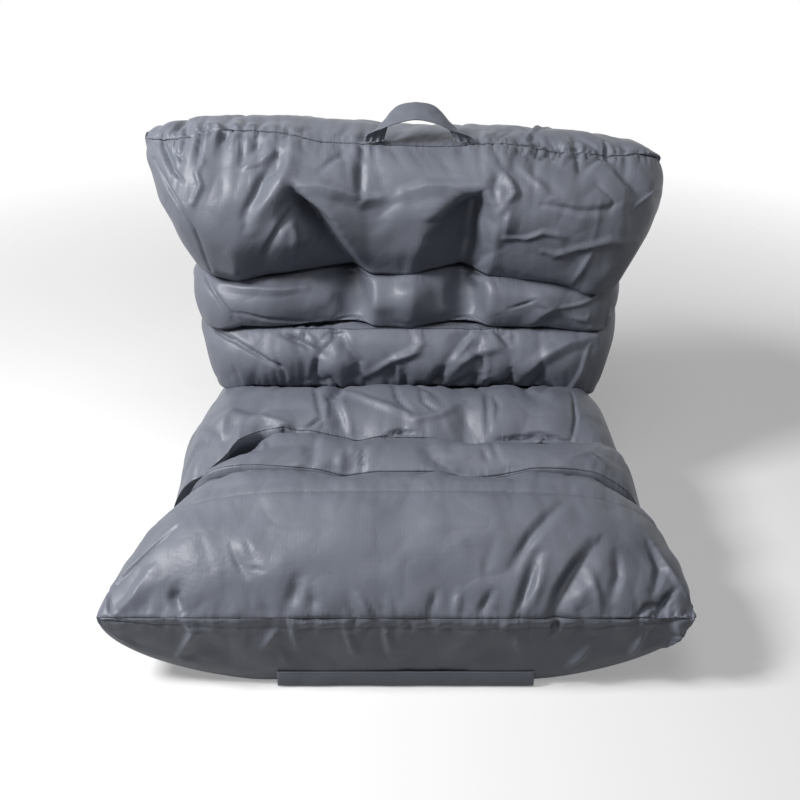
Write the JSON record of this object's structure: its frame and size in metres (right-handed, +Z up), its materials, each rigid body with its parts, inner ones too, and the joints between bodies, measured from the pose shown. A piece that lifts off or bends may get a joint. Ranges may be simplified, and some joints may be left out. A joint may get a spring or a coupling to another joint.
{
  "type": "reclining pouf",
  "caption": "Bead-filled reclining floor lounger: wide front cushion, seat and lumbar rolls hinged at sewn seams, eared headrest, carry handle, hidden zip.",
  "frame": {"origin": "on the floor under the middle of the bounding box", "axes": "+Z up, -Y the way the sitter faces, +X to the right of someone looking at the front"},
  "size_m": [1.0062, 0.9222, 0.8255],
  "materials": {
    "cover_nylon": "semi-gloss grey-blue woven nylon",
    "strap_nylon": "semi-gloss grey-blue woven nylon, four layers",
    "bead_filling": "matt white foam beads",
    "zip_tape": "matt knitted tape",
    "zip_coil": "satin nylon coil"
  },
  "bodies": {
    "rear_seat": {"rear_seat_filling": "bead_filling", "rear_seat_panel": "cover_nylon", "waist_partition": "cover_nylon", "rear_seat_back": "cover_nylon", "rear_seat_base": "cover_nylon", "rear_seat_side_left": "cover_nylon", "rear_seat_side_right": "cover_nylon", "waist_seam_welt": "cover_nylon"},
    "seat_roll": {"seat_roll_filling": "bead_filling", "seat_roll_panel": "cover_nylon", "seat_partition": "cover_nylon", "seat_roll_base": "cover_nylon", "seat_roll_side_left": "cover_nylon", "seat_roll_side_right": "cover_nylon", "seat_seam_welt": "cover_nylon"},
    "front_cushion": {"front_filling": "bead_filling", "front_top_panel": "cover_nylon", "front_rear_strip": "cover_nylon", "front_boxing": "cover_nylon", "front_base_panel": "cover_nylon", "knee_partition": "cover_nylon", "front_gusset_left": "cover_nylon", "front_gusset_right": "cover_nylon", "zip_upper_tape": "zip_tape", "zip_lower_tape": "zip_tape", "zip_chain": "zip_coil", "zip_flap": "cover_nylon", "knee_seam_welt": "cover_nylon"},
    "slider": {"zip_slider": "zip_coil"},
    "lower_lumbar": {"lower_lumbar_filling": "bead_filling", "lower_lumbar_panel": "cover_nylon", "lumbar_partition": "cover_nylon", "lower_lumbar_back": "cover_nylon", "lower_lumbar_side_left": "cover_nylon", "lower_lumbar_side_right": "cover_nylon", "lumbar_seam_welt": "cover_nylon"},
    "upper_lumbar": {"upper_lumbar_filling": "bead_filling", "upper_lumbar_panel": "cover_nylon", "neck_partition": "cover_nylon", "upper_lumbar_back": "cover_nylon", "upper_lumbar_side_left": "cover_nylon", "upper_lumbar_side_right": "cover_nylon", "neck_seam_welt": "cover_nylon"},
    "headrest": {"headrest_filling": "bead_filling", "headrest_panel": "cover_nylon", "top_gusset": "cover_nylon", "headrest_back": "cover_nylon", "headrest_side_left": "cover_nylon", "headrest_side_right": "cover_nylon"},
    "handle": {"carry_handle": "strap_nylon"}
  },
  "joints": [
    {"name": "seat_fold", "type": "hinge", "parent": "rear_seat", "child": "seat_roll", "pos_m": [0, -0.10591, 0.28303], "axis": [-1, 0, 0], "range_deg": [0, 10]},
    {"name": "knee_fold", "type": "hinge", "parent": "seat_roll", "child": "front_cushion", "pos_m": [0, -0.21596, 0.28203], "axis": [-1, 0, 0], "range_deg": [0, 25]},
    {"name": "zip_slide", "type": "slide", "parent": "front_cushion", "child": "slider", "axis": [1, 0, 0], "range_m": [0, 0.41]},
    {"name": "waist_recline", "type": "hinge", "parent": "rear_seat", "child": "lower_lumbar", "pos_m": [0, 0.09407, 0.28303], "axis": [-1, 0, 0], "range_deg": [-8, 18]},
    {"name": "lumbar_bend", "type": "hinge", "parent": "lower_lumbar", "child": "upper_lumbar", "pos_m": [0, 0.11904, 0.40504], "axis": [-1, 0, 0], "range_deg": [-5, 5]},
    {"name": "neck_bend", "type": "hinge", "parent": "upper_lumbar", "child": "headrest", "pos_m": [0, 0.1491, 0.50502], "axis": [-1, 0, 0], "range_deg": [-8, 8]},
    {"name": "handle_swing", "type": "hinge", "parent": "headrest", "child": "handle", "pos_m": [0.022, 0.20905, 0.7471], "axis": [-1, 0, 0], "range_deg": [-60, 50]}
  ]
}
